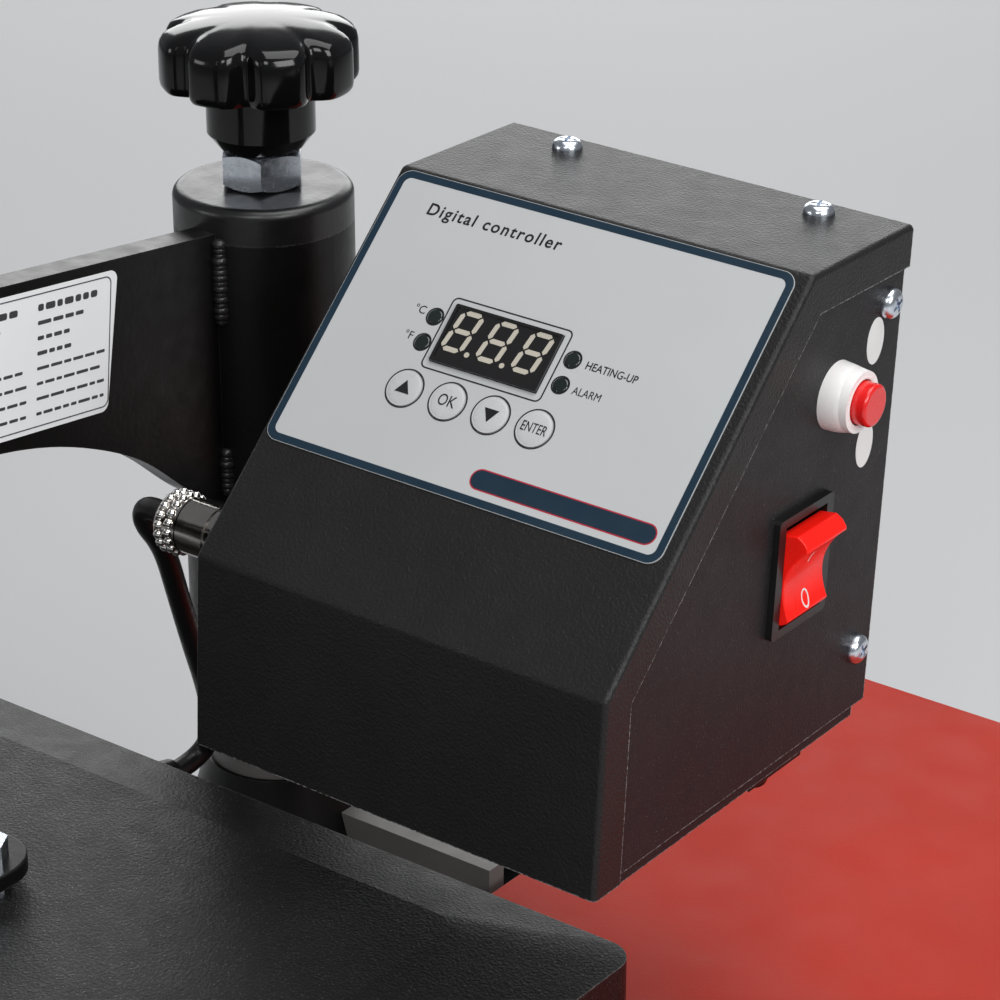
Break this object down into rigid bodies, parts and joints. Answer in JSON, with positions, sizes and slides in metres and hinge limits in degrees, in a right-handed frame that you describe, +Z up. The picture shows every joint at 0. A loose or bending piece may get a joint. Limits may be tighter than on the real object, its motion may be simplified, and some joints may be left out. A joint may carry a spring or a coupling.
{
  "type": "swing-away heat press with digital control box",
  "caption": "Swing-away hot transfer press: post and sleeve with pressure knob, lever-worked heated upper platen, padded lower platen, and a sloping digital control box.",
  "frame": {"origin": "bottom centre of the whole machine's bounding box, on the table under the feet", "axes": "+Z up; +X towards the operator's end of the base; the upper head is stored swung a quarter turn towards -Y, as pictured"},
  "size_m": [0.6224, 0.622, 0.6875],
  "materials": {
    "powder_black": "fine-textured black powder coat",
    "paint_black": "satin black paint",
    "paint_grey": "satin dark grey paint",
    "zinc": "zinc-plated, bright",
    "bright_steel": "ground steel",
    "chrome": "polished nickel",
    "platen_alu": "coated aluminium casting",
    "red_silicone": "matte red-orange silicone foam",
    "knob_black": "gloss black",
    "soft_black": "matte black rubber",
    "cable_jacket": "satin black jacket",
    "overlay": "silver-grey printed film with dark blue border",
    "label": "white printed film",
    "window": "black display face",
    "led": "diffused red",
    "board": "green circuit board",
    "key": "dark blue",
    "switch_black": "gloss black",
    "rocker_red": "translucent red",
    "white_plastic": "white",
    "button_red": "red",
    "wool": "ceramic wool"
  },
  "bodies": {
    "base": {"base_rails": "paint_black", "rail_end_caps": "soft_black", "rubber_feet": "soft_black", "base_crossmembers": "paint_black", "post_base_plate": "paint_black", "base_bolts": "zinc", "post": "bright_steel", "post_collar": "paint_black", "post_gusset": "paint_grey", "platen_pillars": "zinc", "lower_platen": "platen_alu", "silicone_pad": "red_silicone"},
    "carrier": {"thrust_pad": "bright_steel"},
    "head": {"sleeve": "paint_black", "sleeve_cap": "paint_black", "swing_arm": "paint_black", "rating_label": "label", "guide_head": "paint_black", "box_bracket": "paint_black", "bracket_bolts": "zinc", "front_cover": "powder_black", "side_panels": "powder_black", "back_panel": "powder_black", "bottom_tray": "powder_black", "box_screws": "zinc", "panel_overlay": "overlay", "display_module": "window", "indicator_leds": "led", "controller_board": "board", "rocker_bezel": "switch_black", "breaker_body": "white_plastic", "heater_socket": "chrome", "mains_gland": "switch_black", "power_relay": "white_plastic", "plug_body": "chrome", "heater_cable": "cable_jacket"},
    "knob": {"pressure_screw": "bright_steel", "pressure_knob": "knob_black"},
    "lock_nut": {"lock_nut": "zinc"},
    "lever": {"lever_crank": "paint_black", "lever_bar": "chrome", "lever_grip": "soft_black"},
    "platen": {"plunger": "bright_steel", "hanger_plate": "paint_black", "platen_studs": "zinc", "platen_nuts": "zinc", "platen_cover": "powder_black", "cover_screws": "zinc", "heating_platen": "platen_alu", "heating_element": "bright_steel", "insulation": "wool", "temperature_probe": "zinc", "cable_gland": "switch_black"},
    "plug_ring": {"plug_ring": "chrome"},
    "rocker": {"rocker": "rocker_red"},
    "reset_button": {"reset_button": "button_red"},
    "key_up": {"key_up": "key"},
    "key_ok": {"key_ok": "key"},
    "key_down": {"key_down": "key"},
    "key_enter": {"key_enter": "key"}
  },
  "joints": [
    {"name": "head_swing", "type": "hinge", "parent": "base", "child": "carrier", "pos_m": [-0.0928, 0.111, 0.2], "axis": [0, 0, 1], "range_deg": [-45, 90]},
    {"name": "knob_turn", "type": "hinge", "parent": "carrier", "child": "knob", "pos_m": [-0.0928, 0.111, 0.34], "axis": [0, 0, 1], "range_deg": [0, 1080.5]},
    {"name": "head_height", "type": "slide", "parent": "carrier", "child": "head", "axis": [0, 0, 1], "range_m": [-0.006, 0]},
    {"name": "lock_nut_turn", "type": "hinge", "parent": "head", "child": "lock_nut", "pos_m": [-0.0928, 0.111, 0.34], "axis": [0, 0, 1], "range_deg": [0, 60]},
    {"name": "lever_throw", "type": "hinge", "parent": "head", "child": "lever", "pos_m": [-0.0928, -0.1345, 0.352], "axis": [1, 0, 0], "range_deg": [0, 90]},
    {"name": "platen_press", "type": "slide", "parent": "head", "child": "platen", "axis": [0, 0, 1], "range_m": [-0.0138, 0]},
    {"name": "plug_ring_turn", "type": "hinge", "parent": "head", "child": "plug_ring", "pos_m": [-0.01438, -0.00574, 0.27157], "axis": [0.999, 0.0297, -0.0323], "range_deg": [-90, 90]},
    {"name": "rocker_tilt", "type": "hinge", "parent": "head", "child": "rocker", "pos_m": [0.14155, 0.07583, 0.27462], "axis": [-0.0304, 0.9993, -0.0227], "range_deg": [0, 22]},
    {"name": "reset_press", "type": "slide", "parent": "head", "child": "reset_button", "axis": [-0.999, -0.0297, 0.0323], "range_m": [0, 0.003], "stiffness_N_per_m": 600, "springref_m": -0.0006},
    {"name": "key_up_press", "type": "slide", "parent": "head", "child": "key_up", "axis": [-0.0438, 0.6899, -0.7226], "range_m": [0, 0.0004], "stiffness_N_per_m": 1500, "springref_m": -0.0002},
    {"name": "key_ok_press", "type": "slide", "parent": "head", "child": "key_ok", "axis": [-0.0438, 0.6899, -0.7226], "range_m": [0, 0.0004], "stiffness_N_per_m": 1500, "springref_m": -0.0002},
    {"name": "key_down_press", "type": "slide", "parent": "head", "child": "key_down", "axis": [-0.0438, 0.6899, -0.7226], "range_m": [0, 0.0004], "stiffness_N_per_m": 1500, "springref_m": -0.0002},
    {"name": "key_enter_press", "type": "slide", "parent": "head", "child": "key_enter", "axis": [-0.0438, 0.6899, -0.7226], "range_m": [0, 0.0004], "stiffness_N_per_m": 1500, "springref_m": -0.0002}
  ],
  "couplings": [
    {"joint": "knob_turn", "follows": "head_height", "rad_per_m": -3141.6},
    {"joint": "platen_press", "follows": "lever_throw", "m_per_rad": -0.0087217}
  ]
}
